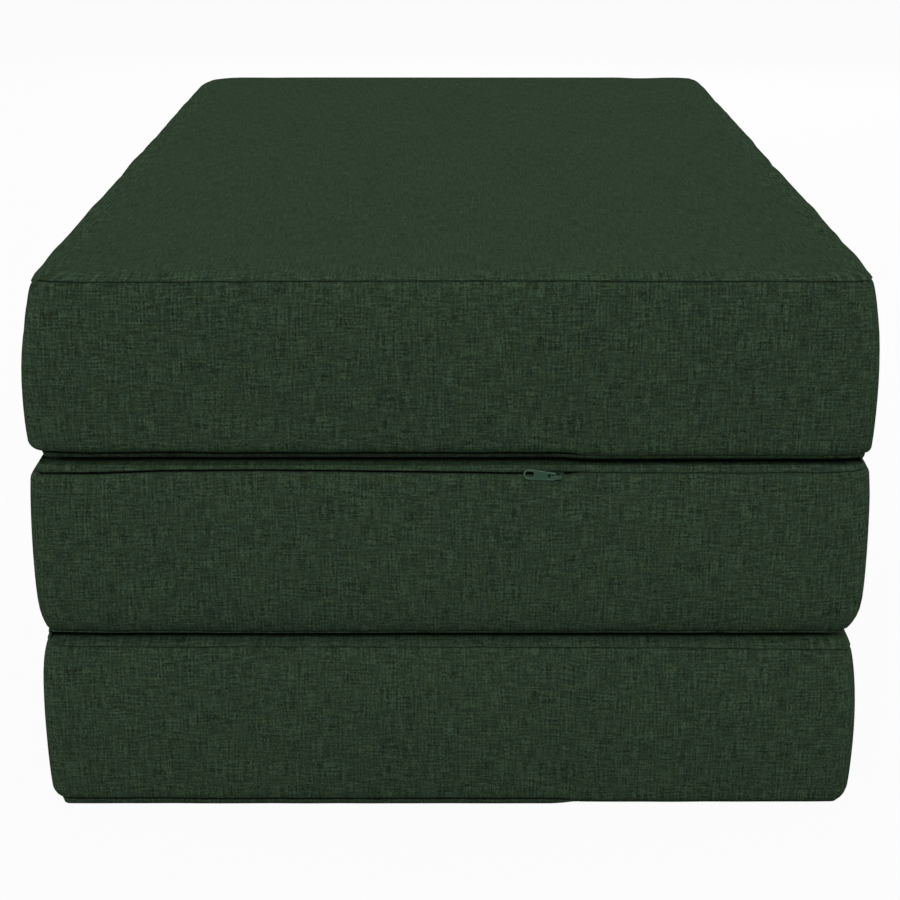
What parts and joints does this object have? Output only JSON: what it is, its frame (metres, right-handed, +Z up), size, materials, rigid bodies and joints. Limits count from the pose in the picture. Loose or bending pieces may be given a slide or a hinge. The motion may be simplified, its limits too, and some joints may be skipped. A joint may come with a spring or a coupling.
{
  "type": "tri-fold foam sofa bed",
  "caption": "Foam bed of covered panels, Z-folded into a low stack for use as a seat, with sewn cloth folds and a zip round the underside seam of each panel.",
  "frame": {"origin": "centre of the folded stack's footprint, on the floor plane", "axes": "+Z up, +Y along the panels' length towards the rear end, -Y towards the end with the middle panel's zip slider, +X to the right seen from that end"},
  "size_m": [0.6678, 0.9722, 0.4566],
  "materials": {
    "cover_cloth": "matte",
    "foam": "matte",
    "zip_tape": "matte",
    "zip_metal": "satin"
  },
  "bodies": {
    "bottom_panel": {"bottom_foam_core": "foam", "bottom_face_sheet": "cover_cloth", "bottom_side_band": "cover_cloth", "bottom_base_sheet": "cover_cloth", "bottom_zip_chain": "zip_tape", "lower_fold_leaf_bottom": "cover_cloth"},
    "middle_panel": {"middle_foam_core": "foam", "middle_face_sheet": "cover_cloth", "middle_side_band": "cover_cloth", "middle_base_sheet": "cover_cloth", "middle_zip_chain": "zip_tape", "lower_fold_leaf_middle": "cover_cloth", "upper_fold_leaf_middle": "cover_cloth"},
    "top_panel": {"top_foam_core": "foam", "top_face_sheet": "cover_cloth", "top_side_band": "cover_cloth", "top_base_sheet": "cover_cloth", "top_zip_chain": "zip_tape", "upper_fold_leaf_top": "cover_cloth"},
    "bottom_slider": {"bottom_zip_slider": "zip_metal"},
    "bottom_pull": {"bottom_zip_pull": "zip_metal"},
    "middle_slider": {"middle_zip_slider": "zip_metal"},
    "middle_pull": {"middle_zip_pull": "zip_metal"},
    "top_slider": {"top_zip_slider": "zip_metal"},
    "top_pull": {"top_zip_pull": "zip_metal"}
  },
  "joints": [
    {"name": "lower_fold", "type": "hinge", "parent": "bottom_panel", "child": "middle_panel", "pos_m": [-0.33415, 0, 0.15215], "axis": [0, -1, 0], "range_deg": [0, 180]},
    {"name": "upper_fold", "type": "hinge", "parent": "middle_panel", "child": "top_panel", "pos_m": [0.33415, 0, 0.30445], "axis": [0, 1, 0], "range_deg": [0, 180]},
    {"name": "bottom_unzip", "type": "slide", "parent": "bottom_panel", "child": "bottom_slider", "axis": [-1, 0, 0], "range_m": [0, 0.385], "deforming": ["bottom_zip_chain"]},
    {"name": "bottom_pull_turn", "type": "hinge", "parent": "bottom_slider", "child": "bottom_pull", "pos_m": [0.0819, 0.48294, 0.0092], "axis": [0, 0, -1], "range_deg": [0, 180]},
    {"name": "middle_unzip", "type": "slide", "parent": "middle_panel", "child": "middle_slider", "axis": [-1, 0, 0], "range_m": [0, 0.385], "deforming": ["middle_zip_chain"]},
    {"name": "middle_pull_turn", "type": "hinge", "parent": "middle_slider", "child": "middle_pull", "pos_m": [0.0819, -0.48294, 0.2951], "axis": [0, 0, 1], "range_deg": [0, 180]},
    {"name": "top_unzip", "type": "slide", "parent": "top_panel", "child": "top_slider", "axis": [-1, 0, 0], "range_m": [0, 0.385], "deforming": ["top_zip_chain"]},
    {"name": "top_pull_turn", "type": "hinge", "parent": "top_slider", "child": "top_pull", "pos_m": [0.0819, 0.48294, 0.3138], "axis": [0, 0, -1], "range_deg": [0, 180]}
  ]
}
